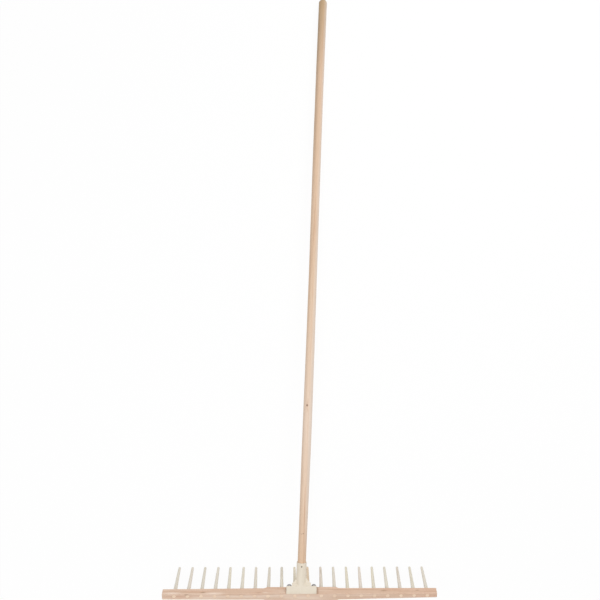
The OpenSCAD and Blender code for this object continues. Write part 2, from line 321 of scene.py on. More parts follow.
class RakeBeam(bpy.types.PropertyGroup):
    """Sizes and colours of the beam"""
    left_length: length("Left length", "From the middle of the socket to the left end", 416.0)
    right_length: length("Right length", "From the middle of the socket to the right end", 409.0)
    thick: length("Thickness", "Thickness of the middle, along the handle", 27.0)
    deep: length("Depth", "Depth of the middle, along the teeth", 27.5)
    block_half: length("Half block", "From the middle to the end of the full section", 102.5)
    shoulder: length("Shoulder", "Length of the slope down to an arm", 12.0)
    arm_thick: length("Arm thickness", "Thickness of an arm at its shoulder", 23.0)
    arm_deep: length("Arm depth", "Depth of an arm at its shoulder", 23.0)
    left_thick: length("Left end thickness", "Thickness of the left end", 20.5)
    left_deep: length("Left end depth", "Depth of the left end", 20.5)
    right_thick: length("Right end thickness", "Thickness of the right end", 15.5)
    right_deep: length("Right end depth", "Depth of the right end", 22.0)
    rounding: length("Edge rounding", "Radius of the sanded long edges", 0.9)
    left_rounding: length("Left end rounding", "Radius round the left end", 1.2)
    right_rounding: length("Right end rounding", "Radius round the right end", 0.5)
    wood: colour("Wood", "Colour of the planed wood", (226, 196, 173))
    pale: colour("Pale streaks", "Colour of the palest streaks", (246, 226, 209))
    vein_colour: colour("Veins", "Colour of the darker veins", (184, 140, 108))
    red_end: colour("Reddish wood", "Colour towards the right end", (214, 158, 128))
    # Painted shadow: the colour of the contact shadow beside the socket's foot
    foot_shadow: colour("Shadow", "Colour of the dirt beside the socket", (146, 114, 90))


class RakeTeeth(bpy.types.PropertyGroup):
    """Sizes and colours of the teeth"""
    count: whole("Teeth", "Number of teeth", 20, 2, 40)
    pitch: length("Pitch", "Distance from tooth to tooth", 40.0)
    length: length("Length", "From the root end to the tip", 115.0)
    shank: length("Shank", "Straight part in the beam", 19.0)
    root: length("Root", "Diameter in the beam", 11.6)
    hole: length("Hole", "Diameter of the holes in the beam", 11.7)
    tip: length("Tip", "Diameter near the tip", 7.6)
    inset: length("Inset", "Depth of the axes below the socket face", 8.5)
    wander: length("Wander", "How far a tip strays sideways", 1.54, 0, 3)
    lean: length("Lean", "How far the tips lean to the left on average", 1.06, -3, 3)
    wood: colour("Wood", "Colour of the peeled wood", (227, 221, 208))
    yellow: colour("Yellowish wood", "Colour of the yellowest teeth", (229, 222, 203))
    pink: colour("Pinkish wood", "Colour of the pinkest teeth", (230, 220, 209))
    # Painted light on the two teeth behind the socket's tube, lighter to make up for the tube's shadow
    lit_left_of_tube: colour("Left of the tube", "Tooth on the left of the socket's tube", (235, 226, 206))
    lit_right_of_tube: colour("Right of the tube", "Tooth on the right of the socket's tube", (237, 215, 187))
    shade: colour("Darker wood", "Colour of the darker streaks", (190, 178, 157))
    root_end: colour("Root ends", "Colour of the palest cut root ends", (250, 223, 198))
    faint_end: colour("Faint root ends", "Colour of the darkest cut root ends", (243, 214, 189))


class RakeSocket(bpy.types.PropertyGroup):
    """Finish of the moulded socket"""
    grid: length("Grid", "Size of the even grid that the moulding is redrawn on", 0.6, 0.2, 3)
    softening: whole("Softening", "Rounds of easing of its edges", 7, 0, 40)
    plastic: colour("Plastic", "Colour of the moulding", (229, 218, 200))
    stain: colour("Stain", "Colour of the handled and dusty places", (203, 188, 163))


class RakeFasteners(bpy.types.PropertyGroup):
    """Sizes and colours of bolts, nuts, washers and screw"""
    bolt: length("Bolt", "Bolt diameter", 8.0)
    bolt_hole: length("Bolt hole", "Diameter of the holes that the bolts pass through", 8.5)
    thread_gap: length("Thread gap", "Gap all round a bolt in its nut", 0.05)
    flats: length("Across flats", "Width of bolt heads and nuts", 13.0)
    head: length("Head height", "Height of a bolt head", 5.3)
    nut: length("Nut height", "Height of a nut's hexagon", 8.0)
    dome: length("Dome", "Diameter of a nut's dome, on top of its hexagon", 11.6)
    dome_high: length("Dome height", "Height of the dome above the hexagon", 3.8)
    thread_spare: length("Spare thread", "Room left above the bolt in its nut", 1.0)
    washer: length("Washer", "Washer diameter", 16.0)
    screw: length("Screw", "Screw diameter", 3.0)
    screw_length: length("Screw length", "From under its head to its end", 16.0)
    screw_head: length("Screw head", "Diameter of the screw's head", 5.4)
    screw_head_height: length("Screw head height", "Height of the screw's head", 1.8)
    screw_soil: length("Screw soil", "Radius of the dirt that fills the screw's recess", 2.3)
    zinc: colour("Zinc", "Colour of the dulled zinc", (172, 169, 169))
    screw_zinc: colour("Screw", "Colour of the screw", (200, 191, 174))


class RakeStage(bpy.types.PropertyGroup):
    """Floor, lamps and camera"""
    floor: colour("Floor", "Colour of the floor", (250, 250, 250))
    floor_glow: number("Floor glow", "Share of plain white that the camera sees in the floor", 0.93,
                       min=0.0, max=1.0, subtype="FACTOR")
    world: number("Sky", "Strength of the even light from all sides", 0.58, min=0.0)
    key: number("Key lamp", "Power of the main lamp, on the right", 30.0, min=0.0, unit="POWER")
    fill: number("Fill lamp", "Power of the lamp on the left", 22.0, min=0.0, unit="POWER")
    camera_at: triple("Camera", "Place of the camera", (-0.00094, 0.06881, 2.35608),
                      unit="LENGTH", subtype="TRANSLATION")
    camera_turn: triple("Camera turn", "Turn of the camera from looking straight down",
                        tuple(math.radians(d) for d in (0.0729, -1.9031, 0.6014)),
                        unit="ROTATION", subtype="EULER")
    focal: number("Focal length", "In picture widths", FOCAL_LENGTH / PICTURE, min=0.1)
    centre_x: number("Centre across", "Optical centre, as a share of the picture from its left",
                     CENTRE_ACROSS / PICTURE)
    centre_y: number("Centre down", "Optical centre, as a share of the picture from its top",
                     CENTRE_DOWN / PICTURE)


# Materials

class Tree:
    """Shader nodes under construction. Nearly every method adds one node and gives its output."""

    def __init__(self, owner):
        owner.use_nodes = True
        self.nodes = owner.node_tree.nodes
        self.links = owner.node_tree.links
        self.nodes.clear()

    def set(self, socket, value):
        """Puts a number, colour or another node's output into a socket."""
        if isinstance(value, bpy.types.NodeSocket):
            self.links.new(value, socket)
        elif socket.type == "RGBA":
            socket.default_value = tuple(value)[:3] + (1.0,)
        else:
            socket.default_value = value

    def node(self, kind, settings, values, output=0):
        """Adds a node of one kind with settings and socket values, and gives one of its outputs."""
        node = self.nodes.new(kind)
        for key, value in settings.items():
            setattr(node, key, value)
        for key, value in values.items():
            self.set(node.inputs[key], value)
        return node.outputs[output]

    def end(self, kind, shader):
        """Leads a shader to an output node."""
        self.set(self.nodes.new(kind).inputs["Surface"], shader)

    def math(self, operation, a, b=0.0, clamp=False):
        """One sum on numbers."""
        return self.node("ShaderNodeMath", {"operation": operation, "use_clamp": clamp}, {0: a, 1: b})

    def times(self, a, b):
        """The product of two numbers."""
        return self.math("MULTIPLY", a, b)

    def plus(self, a, b, clamp=False):
        """Two numbers added up."""
        return self.math("ADD", a, b, clamp)

    def spread(self, value, low, high, to_low=0.0, to_high=1.0, smooth=True):
        """The value carried from one range to another, held at its ends."""
        kind = "SMOOTHSTEP" if smooth else "LINEAR"
        return self.node("ShaderNodeMapRange", {"interpolation_type": kind, "clamp": True}, {
            "Value": value, "From Min": low, "From Max": high, "To Min": to_low, "To Max": to_high})

    def seen_directly(self):
        """1 for what the camera sees, straight, in a gloss or through glass, and 0 for light on the rake."""
        path = self.nodes.new("ShaderNodeLightPath")
        seen = path.outputs["Is Camera Ray"]
        for other in ("Is Glossy Ray", "Is Transmission Ray"):
            seen = self.math("MAXIMUM", seen, path.outputs[other])
        return seen


class Finish(Tree):
    """A material under construction."""

    def __init__(self, name):
        self.material = bpy.data.materials.new(name)
        super().__init__(self.material)
        self.shader = self.nodes.new("ShaderNodeBsdfPrincipled")
        self.end("ShaderNodeOutputMaterial", self.shader.outputs["BSDF"])

    def local(self, origin, axes):
        """Object coordinates turned to three axes from an origin, in metres. The axes are right-handed."""
        turn = Matrix([list(axis) for axis in axes])
        shift = -(turn @ Vector(origin))
        coordinates = self.node("ShaderNodeTexCoord", {}, {}, "Object")
        return self.node("ShaderNodeMapping", {"vector_type": "POINT"}, {
            "Vector": coordinates, "Location": shift, "Rotation": turn.to_euler("XYZ")})

    def stretched(self, vector, scale):
        """The vector with each part multiplied by its own factor."""
        return self.node("ShaderNodeVectorMath", {"operation": "MULTIPLY"}, {0: vector, 1: scale})

    def moved(self, vector, by):
        """The sum of two vectors."""
        return self.node("ShaderNodeVectorMath", {"operation": "ADD"}, {0: vector, 1: by})

    def part(self, vector, axis):
        """One part of a vector: X, Y or Z."""
        return self.node("ShaderNodeSeparateXYZ", {}, {"Vector": vector}, axis)

    def size_of(self, vector):
        """The length of a vector."""
        return self.node("ShaderNodeVectorMath", {"operation": "LENGTH"}, {0: vector}, "Value")

    def noise(self, vector, scale, detail=2.0, roughness=0.5, distortion=0.0):
        """Soft noise, about 0.5."""
        return self.node("ShaderNodeTexNoise", {"noise_dimensions": "3D"}, {
            "Vector": vector, "Scale": scale, "Detail": detail, "Roughness": roughness,
            "Distortion": distortion})

    def drawn_out(self, vector, squeeze, scale, detail, roughness):
        """Noise drawn out along z, where its scale is squeezed by a factor."""
        return self.noise(self.stretched(vector, (1.0, 1.0, squeeze)), scale, detail, roughness)

    def mix(self, amount, a, b):
        """Colour a turned into colour b by an amount."""
        return self.node("ShaderNodeMix", {"data_type": "RGBA"}, {0: amount, 6: a, 7: b}, 2)

    def tint(self, base, mask, share, tone):
        """A base colour turned into a tone by a share of a mask."""
        return self.mix(self.times(mask, share), base, tone)

    def brighter(self, base, factor):
        """A colour multiplied by a number."""
        return self.node("ShaderNodeVectorMath", {"operation": "SCALE"}, {0: base, "Scale": factor})

    def spot(self, vector, centre_mm, half_mm):
        """1 at a centre, falling smoothly to 0 on an ellipsoid with these half sizes, in millimetres."""
        away = self.moved(vector, [-c * MM for c in centre_mm])
        return self.spread(self.size_of(self.stretched(away, [1 / (h * MM) for h in half_mm])), 1.0, 0.0)

    def ramp(self, value, stops):
        """Colours along a value, as (place, colour) stops."""
        node = self.nodes.new("ShaderNodeValToRGB")
        while len(node.color_ramp.elements) < len(stops):
            node.color_ramp.elements.new(0.5)
        for element, (place, tone) in zip(node.color_ramp.elements, stops):
            element.position = place
            element.color = tuple(tone)[:3] + (1.0,)
        self.links.new(value, node.inputs["Fac"])
        return node.outputs["Color"]

    def bump(self, height, distance, strength):
        """Fine relief of a height, in metres."""
        values = {"Height": height, "Distance": distance, "Strength": strength}
        self.set(self.shader.inputs["Normal"], self.node("ShaderNodeBump", {}, values))

    def surface(self, base, roughness, metallic=0.0, specular=0.5):
        """Sets the shader's own sockets."""
        self.set(self.shader.inputs["Base Color"], base)
        self.set(self.shader.inputs["Roughness"], roughness)
        self.shader.inputs["Metallic"].default_value = metallic
        self.shader.inputs["Specular IOR Level"].default_value = specular
        return self.material


def wood_grain(finish, place, pith, ring_width, wander):
    """Grain of wood whose length is the z of place: veins, growth rings, pores and rays as four numbers.

    The rings are circles about the pith, at the distance d = |(x, y) - pith| + noise, and their strength is
    0.5 + 0.5 sin(2 pi d / width), to the power 2.2.
    """
    slow = finish.drawn_out(place, 0.055, 26.0, 3.0, 0.55)
    drift = finish.spread(slow, 0.25, 0.75, -wander, wander, smooth=False)
    off_pith = finish.stretched(finish.moved(place, (-pith[0], -pith[1], 0.0)), (1.0, 1.0, 0.0))
    phase = finish.times(finish.plus(finish.size_of(off_pith), drift), 2 * math.pi / ring_width)
    rings = finish.spread(finish.math("SINE", phase), -1.0, 1.0, 0.0, 1.0, smooth=False)
    veins = finish.drawn_out(place, 0.018, 210.0, 4.0, 0.62)
    pores = finish.drawn_out(place, 0.035, 1500.0, 2.0, 0.6)
    rays = finish.drawn_out(place, 0.16, 1100.0, 1.0, 0.5)
    return veins, finish.math("POWER", rings, 2.2), pores, finish.spread(rays, 0.66, 0.76)


def veined(finish, base, tone, veins, rings, full_at, vein_share, ring_share):
    """A colour darkened to a tone by veins, full where their noise passes full_at, and by growth rings."""
    vein = finish.times(finish.spread(veins, 0.50, full_at), vein_share)
    return finish.mix(finish.plus(vein, finish.times(rings, ring_share), clamp=True), base, tone)


def worked_wood(finish, base, veins, pores, tones, vein_relief, depth, roughness):
    """Ends a wood: pores shade its colour, pores and veins make its relief, and veins set its roughness."""
    base = finish.brighter(base, finish.spread(pores, 0.3, 0.7, *tones, smooth=False))
    finish.bump(finish.plus(pores, finish.times(veins, vein_relief)), depth, 0.7)
    return finish.surface(base, finish.spread(veins, 0.3, 0.7, *roughness), specular=0.35)


def handle_wood(sizes):
    """Sanded beech of the handle: five tones along it, veins, a pin knot, a scar and a greyed far end."""
    finish = Finish("handle_sanded_beech")
    place = finish.local(HANDLE_FOOT, (RIGHT, -UP, ALONG))
    across, height = finish.part(place, "X"), finish.part(place, "Z")
    knot = finish.spot(place, KNOT_AT, (4.4, 6, 5.2))
    halo = finish.spot(place, KNOT_AT, (8, 12, 30))
    # The grain parts round the knot
    swirl = finish.node("ShaderNodeCombineXYZ", {}, {"X": finish.times(halo, 5 * MM)})
    parted = finish.moved(place, swirl)
    veins, rings, pores, rays = wood_grain(finish, parted, (0.020, -0.034), 3.1 * MM, 3.4 * MM)
    share = finish.math("DIVIDE", height, HANDLE_LENGTH)
    tone = finish.ramp(share, [
        (0.04, sizes.low_colour), (0.27, sizes.swell_colour), (0.50, sizes.middle_colour),
        (0.86, sizes.grip_colour), (1.0, sizes.end_colour)])
    base = veined(finish, tone, sizes.vein_colour, veins, rings, 0.74, 0.42, 0.13)
    # Greyed streaks of the handled wood on the left of the upper half, which also darken that side as painted
    # shade, away from the light
    left_and_high = finish.times(finish.spread(across, 2 * MM, -11 * MM), finish.spread(share, 0.55, 0.98))
    grey = finish.spread(finish.drawn_out(place, 0.05, 70.0, 3.0, 0.6), 0.40, 0.66)
    base = finish.tint(base, finish.times(grey, left_and_high), 0.45, HANDLED_GREY_AND_SHADE)
    base = finish.tint(base, rays, 0.28, sizes.vein_colour)
    base = finish.tint(base, halo, 0.22, sizes.vein_colour)
    base = finish.mix(knot, base, sizes.knot_colour)
    # A small scar near the socket, and a short scratch to its left
    scar = finish.times(finish.spot(place, SCAR_AT, (3, 5, 3.4)), 0.6)
    scratch = finish.times(finish.spot(place, SCRATCH_AT, (6, 5, 2)), 0.35)
    base = finish.mix(finish.plus(scar, scratch, clamp=True), base, sizes.knot_colour)
    # Painted sheen makes the right side paler, and painted shade makes the left edge a little darker
    right = finish.times(finish.spread(across, 2 * MM, 11 * MM), 0.42)
    base = finish.tint(base, right, finish.spread(share, 0.03, 0.12), sizes.painted_sheen)
    base = finish.brighter(base, finish.spread(across, -5 * MM, -12 * MM, 1.0, 0.93))
    # The cut far end is darker
    cut = finish.spread(height, HANDLE_LENGTH - 1.2 * MM, HANDLE_LENGTH - 0.2 * MM)
    base = finish.tint(base, cut, 0.5, sizes.vein_colour)
    return worked_wood(finish, base, veins, pores, (0.955, 1.035), 1.6, 0.10 * MM, (0.50, 0.66))


def beam_wood(sizes):
    """Planed beech of the beam: veins, warm patches, streaks, dirt, end grain and a reddish right end."""
    finish = Finish("beam_planed_beech")
    place = finish.local(EDGE, (FACE_OUT, BACK_OUT, X_AXIS))
    along = finish.part(place, "Z")
    veins, rings, pores, rays = wood_grain(finish, place, (-0.070, 0.045), 3.6 * MM, 4.5 * MM)
    slow = finish.drawn_out(place, 0.12, 42.0, 3.0, 0.55)
    base = finish.mix(finish.spread(slow, 0.40, 0.74, 0.0, 0.7), sizes.wood, sizes.pale)
    warm = finish.drawn_out(finish.moved(place, (0.3, 0.1, 0.0)), 0.16, 60.0, 2.0, 0.5)
    base = finish.mix(finish.spread(warm, 0.50, 0.72, 0.0, 0.28), base, sizes.red_end)
    base = finish.tint(base, finish.spread(along, 0.24, 0.42), 0.22, sizes.red_end)
    base = veined(finish, base, sizes.vein_colour, veins, rings, 0.73, 0.55, 0.17)
    fibres = finish.spread(veins, 0.36, 0.60, 0.35, 1.15)
    for centre, half, strength in DARK_STREAKS:
        streak = finish.times(finish.spot(place, centre, half), fibres)
        base = finish.tint(base, streak, strength, STREAK_BROWN)
    # Pale streaks, and painted highlights along the edge between face and back
    for centre, half, strength in PALE_STREAKS_AND_HIGHLIGHTS:
        base = finish.tint(base, finish.spot(place, centre, half), strength, sizes.pale)
    base = finish.tint(base, rays, 0.30, sizes.vein_colour)
    # Painted shadow in the corners beside the socket's foot
    for side, reach, strength in ((-1, 5, 0.35), (1, 10, 0.6)):
        corner = finish.spot(place, (0, -13, side * FOOT_HALF / MM), (1.2, 60, reach))
        base = finish.tint(base, corner, strength, sizes.foot_shadow)
    # Painted shade: the face that carries the socket is a little darker
    face = finish.spread(finish.part(place, "X"), -0.7 * MM, -0.1 * MM)
    base = finish.tint(base, face, 0.12, sizes.vein_colour)
    # The saw-cut ends drink in dirt
    right_end = finish.spread(along, sizes.right_length - 0.7 * MM, sizes.right_length - 0.1 * MM)
    left_end = finish.spread(along, 0.7 * MM - sizes.left_length, 0.1 * MM - sizes.left_length)
    base = finish.tint(base, finish.plus(right_end, left_end), 0.55, sizes.vein_colour)
    return worked_wood(finish, base, veins, pores, (0.95, 1.04), 1.8, 0.12 * MM, (0.52, 0.68))


def tooth_wood(sizes):
    """Pale peeled hardwood: each tooth has its own tone, lengthwise streaks and a warmer root end."""
    finish = Finish("tooth_pale_hardwood")
    place = finish.local(EDGE, TOOTH_AXES)
    across = finish.part(place, "X")
    veins, rings, pores, rays = wood_grain(finish, place, (0.0, 0.052), 2.6 * MM, 5.0 * MM)
    row = finish.stretched(place, (1.0, 0.0, 0.0))
    own = finish.noise(row, 24.0, 1.0, 0.5)
    hue = finish.noise(finish.moved(row, (3.0, 1.0, 0.0)), 31.0, 1.0, 0.5)
    streak = finish.drawn_out(place, 0.10, 160.0, 3.0, 0.6)
    shade = finish.times(finish.spread(streak, 0.52, 0.74), 0.36)
    shade = finish.plus(shade, finish.spread(own, 0.35, 0.75, 0.0, 0.10), clamp=True)
    # The second tooth right of the handle has a dark streak near its tip
    streaked = (1.5 * sizes.pitch / MM, sizes.inset / MM - 4, 94)
    dark = finish.times(finish.spot(place, streaked, (3, 6, 16)), 0.7)
    shade = finish.plus(shade, dark, clamp=True)
    base = finish.mix(finish.spread(hue, 0.50, 0.64), sizes.wood, sizes.pink)
    base = finish.mix(finish.spread(hue, 0.48, 0.36), base, sizes.yellow)
    # The two teeth behind the socket are painted lighter, as painted light that makes up for the socket's
    # shadow on them; the right one is also warmer
    for side, tone in ((-0.5, sizes.lit_left_of_tube), (0.5, sizes.lit_right_of_tube)):
        off = finish.math("ABSOLUTE", finish.math("SUBTRACT", across, side * sizes.pitch))
        base = finish.mix(finish.spread(off, 13 * MM, 11 * MM), base, tone)
    base = finish.mix(shade, base, sizes.shade)
    base = finish.tint(base, rings, 0.14, sizes.shade)
    base = finish.tint(base, rays, 0.25, sizes.shade)
    root = finish.spread(finish.part(place, "Z"), 2.0 * MM, 0.6 * MM)
    end_tone = finish.mix(finish.spread(own, 0.38, 0.62), sizes.faint_end, sizes.root_end)
    base = finish.mix(root, base, end_tone)
    base = finish.tint(base, finish.times(root, rings), 0.22, sizes.shade)
    return worked_wood(finish, base, veins, pores, (0.95, 1.04), 1.5, 0.10 * MM, (0.50, 0.66))


def socket_plastic(sizes):
    """Cream moulded plastic with a fine even texture, a little dust low down and faint flow lines."""
    finish = Finish("socket_cream_plastic")
    place = finish.local(EDGE, HEAD_AXES)
    cloud = finish.noise(place, 38.0, 4.0, 0.55)
    fine = finish.noise(place, 2600.0, 2.0, 0.5)
    flow = finish.noise(finish.stretched(place, (1.0, 0.12, 1.0)), 160.0, 2.0, 0.5, 0.6)
    low = finish.spread(finish.part(place, "Y"), 9 * MM, 0.5 * MM)
    dust = finish.times(finish.times(low, finish.spread(cloud, 0.35, 0.65, 0.25, 1.0)), 0.30)
    dust = finish.plus(dust, finish.spread(cloud, 0.55, 0.8, 0.0, 0.22), clamp=True)
    base = finish.mix(dust, sizes.plastic, sizes.stain)
    base = finish.brighter(base, finish.spread(flow, 0.3, 0.7, 0.985, 1.015, smooth=False))
    finish.bump(finish.plus(fine, finish.times(flow, 0.5)), 0.035 * MM, 0.6)
    roughness = finish.plus(finish.spread(cloud, 0.3, 0.7, 0.38, 0.50), finish.times(dust, 0.2))
    return finish.surface(base, roughness)


def zinc(name, tone, origin, axes, soil=0.0):
    """Dulled zinc: a cloudy grey, darker specks and turning marks round the piece's own axis.

    Soil is the radius of the dirt that fills the recess of a screw.
    """
    finish = Finish(name)
    place = finish.local(origin, axes)
    cloud = finish.noise(place, 420.0, 4.0, 0.6)
    specks = finish.spread(finish.noise(place, 1700.0, 2.0, 0.5), 0.60, 0.70)
    marks = finish.noise(finish.stretched(place, (0.2, 0.2, 1.0)), 5200.0, 1.0, 0.5)
    base = finish.mix(finish.spread(cloud, 0.35, 0.75, 0.0, 0.45), tone, [0.42 * c for c in tone])
    base = finish.tint(base, specks, 0.35, SPECK_BROWN)
    if soil:
        base = finish.mix(finish.spot(place, (0, 0, 1), (soil / MM, soil / MM, 4)), base, SOIL_BLACK)
    finish.bump(finish.plus(cloud, marks), 0.02 * MM, 0.6)
    return finish.surface(base, finish.spread(cloud, 0.3, 0.7, 0.48, 0.64), metallic=1.0)


# Pieces

def handle_radius(sizes, s):
    """Radius of the handle at the height s: spigot, smooth rise to the swell, straight taper and grip.

    The taper is swell + (grip - swell) u, with u the share of the way from the swell to the grip.
    """
    up = ease((s - HANDLE_IN_SOCKET) / (sizes.swell_at - HANDLE_IN_SOCKET))
    u = np.clip((s - sizes.swell_at) / (sizes.grip_at - sizes.swell_at), 0.0, 1.0)
    below = sizes.spigot + (sizes.swell - sizes.spigot) * up
    above = sizes.swell + (sizes.grip - sizes.swell) * u
    return 0.5 * np.where(s < sizes.swell_at, below, above)


def handle_profile(sizes):
    """Radius and height along the handle: eased lower edge, body, slightly domed bevel and flat far end.

    The bevel falls in by its depth times w^1.35, with w the share of its length, so it bulges a little.
    """
    top, bevel = HANDLE_LENGTH, sizes.bevel_length
    body = np.concatenate([np.linspace(1.6 * MM, 84 * MM, 14), np.linspace(90 * MM, top - 14 * MM, 250)])
    radius = handle_radius(sizes, body)
    low, grip = radius[0], 0.5 * sizes.grip
    foot = [(0.0, 0.0), (low - 2.2 * MM, 0.0), (low - 1.5 * MM, 0.1 * MM), (low - 0.2 * MM, 1.3 * MM)]
    start = [(grip, top - bevel - 1.5 * MM), (grip, top - bevel)]
    w = np.linspace(0.0, 1.0, 9)[1:]
    short = 1.2 * MM * sizes.bevel_depth / bevel
    fall = points_of(grip - sizes.bevel_depth * w ** 1.35, top - bevel + (bevel - short) * w)
    last = grip - sizes.bevel_depth
    tail = [(last - 0.35 * MM, top - 0.18 * MM), (last - 0.9 * MM, top), (last - 1.5 * MM, top), (0.0, top)]
    return np.concatenate([foot, points_of(radius, body), start, fall, tail])


def handle_rings(sizes, sides=56):
    """Rings of the handle: its profile's radius plus small waves, round an axis that bows to the right.

    The bow is b1 sin(pi u) + b2 sin(2 pi u) + b3 sin(3 pi u), with u the share of the length beyond the rim.
    It starts level at the rim, so that the handle still runs straight into the socket. A wave is
    sin(2 pi s / length + turns a + phase) with its own weight. All fade out in the socket and near the end.
    """
    profile = handle_profile(sizes)
    r, s = profile[:, :1], profile[:, 1:2]
    a = angles(sides)
    free = ease((s - 95 * MM) / (120 * MM)) * ease((HANDLE_LENGTH - 25 * MM - s) / (90 * MM))
    waves = sum(weight * np.sin(2 * np.pi * s / (long_mm * MM) + turns * a + phase)
                for long_mm, turns, phase, weight in HANDLE_WAVES)
    r = r + sizes.unevenness * free * (waves / 3.6 - 0.3)
    u = np.clip((s - HANDLE_IN_SOCKET) / (HANDLE_LENGTH - HANDLE_IN_SOCKET), 0.0, 1.0)
    bends = ((1, sizes.bow), (2, sizes.sway), (3, sizes.ripple))
    bow = sum(size * np.sin(turns * np.pi * u) for turns, size in bends) * ease(u / 0.06)
    return placed(points_of(r * np.cos(a), r * np.sin(a) + bow, s), HANDLE_FOOT, (UP, RIGHT, ALONG))


def beam_section(sizes, x):
    """Thickness and depth of the beam at x: full in the middle, eased shoulders, straight tapers outwards."""
    shoulder_end = sizes.block_half + sizes.shoulder
    full = np.where(x < 0, sizes.left_length, sizes.right_length)
    out = np.clip((np.abs(x) - shoulder_end) / (full - shoulder_end), 0.0, 1.0)
    drop = ease((np.abs(x) - sizes.block_half) / sizes.shoulder)
    end_thick = np.where(x < 0, sizes.left_thick, sizes.right_thick)
    end_deep = np.where(x < 0, sizes.left_deep, sizes.right_deep)
    thick = sizes.thick + (sizes.arm_thick - sizes.thick) * drop + (end_thick - sizes.arm_thick) * out
    deep = sizes.deep + (sizes.arm_deep - sizes.deep) * drop + (end_deep - sizes.arm_deep) * out
    return thick, deep


def end_stations(at, inwards, rounding):
    """Places x and insets round the edge of an end in a quarter turn t, and on to the middle of its face.

    The place is at + inwards radius (1 - sin t), and the inset is radius (1 - cos t).
    """
    turn = np.radians(np.linspace(0, 90, 6))
    edge = points_of(at + inwards * rounding * (1 - np.sin(turn)), rounding * (1 - np.cos(turn)))
    return np.concatenate([edge, [[at, rounding + 0.5 * MM], [at, 1.0]]])


def beam_rings(sizes):
    """Rings of a rounded rectangle along x, with flat ends whose edges are rounded in quarter turns.

    A corner's points are its middle + radius (cos t, sin t), and four points lie along each flat side.
    """
    low, high = -sizes.left_length, sizes.right_length
    near_in, near_out = sizes.block_half - 4.5 * MM, sizes.block_half + sizes.shoulder + 5.5 * MM
    run = np.unique(np.concatenate([
        np.linspace(low + 4 * MM, high - 4 * MM, 150),
        np.linspace(-near_out, -near_in, 14), np.linspace(near_in, near_out, 14)]))
    stations = np.concatenate([
        end_stations(low, 1, sizes.left_rounding)[::-1], points_of(run, 0.0),
        end_stations(high, -1, sizes.right_rounding)])
    x, inset = stations[:, 0], stations[:, 1]
    thick, deep = beam_section(sizes, x)
    # The outermost ring of each end closes on the middle of its face
    inset = np.minimum(inset, 0.5 * np.minimum(thick, deep) - 0.4 * MM)
    radius = np.maximum(sizes.rounding * (1 + 0.12 * np.sin(x / (23 * MM))) - 0.3 * inset, 0.35 * MM)
    front, rear = -inset - radius, inset - thick + radius
    top, bottom = -inset - radius, inset - deep + radius
    arc = np.radians(np.linspace(0, 90, 6))
    corners = []
    for corner, middle in enumerate(((front, bottom), (front, top), (rear, top), (rear, bottom))):
        t = arc + (corner - 1) * np.pi / 2
        spokes = radius[:, None, None] * points_of(np.cos(t), np.sin(t))
        corners.append(points_of(*middle)[:, None] + spokes)
    ring = []
    for corner in range(4):
        here, following = corners[corner], corners[(corner + 1) % 4]
        start, stop = here[:, -1:], following[:, :1]
        span = np.linalg.norm(stop - start, axis=-1, keepdims=True)
        edge = np.minimum(0.4 * MM / span, 0.2)
        ring += [here] + [start + (stop - start) * w for w in (edge, 0.35, 0.65, 1 - edge)]
    ring = np.concatenate(ring, axis=1)
    return placed(points_of(x[:, None], ring[..., 0], ring[..., 1]), EDGE, HEAD_AXES)


def tooth_across(sizes):
    """Place of each tooth along the beam: (i - (n - 1) / 2) pitch."""
    return (np.arange(sizes.count) - 0.5 * (sizes.count - 1)) * sizes.pitch


def root_at(sizes, across):
    """Where a tooth's axis leaves the beam's back."""
    return EDGE + across * X_AXIS - sizes.inset * FACE_OUT


def bolt_at(side):
    """Where a bolt's axis meets the face that carries the socket."""
    return EDGE + side * BOLT_ACROSS * X_AXIS - BOLT_BELOW_BACK * BACK_OUT


def beam_mesh(beam, teeth, fasteners):
    """The beam's skin with a hole cut through it for each tooth and bolt."""
    solid = linked("beam_blank", ring_mesh("beam_blank", beam_rings(beam)))
    holes = [(teeth.hole, root_at(teeth, across), HEAD_AXES) for across in tooth_across(teeth)]
    holes += [(fasteners.bolt_hole, bolt_at(side), BOLT_AXES) for side in (-1, 1)]
    reach = 2 * beam.deep
    drills = []
    for order, (diameter, at, axes) in enumerate(holes):
        rings = lathe([(0.0, -reach), (0.5 * diameter, -reach), (0.5 * diameter, reach), (0.0, reach)], 48)
        drills.append(linked("drill", ring_mesh("drill", placed(rings, at, axes))))
        cut = solid.modifiers.new(f"hole_{order}", "BOOLEAN")
        cut.operation, cut.solver, cut.object = "DIFFERENCE", "EXACT", drills[-1]
    mesh = baked(solid)
    discard(solid, *drills)
    return mesh


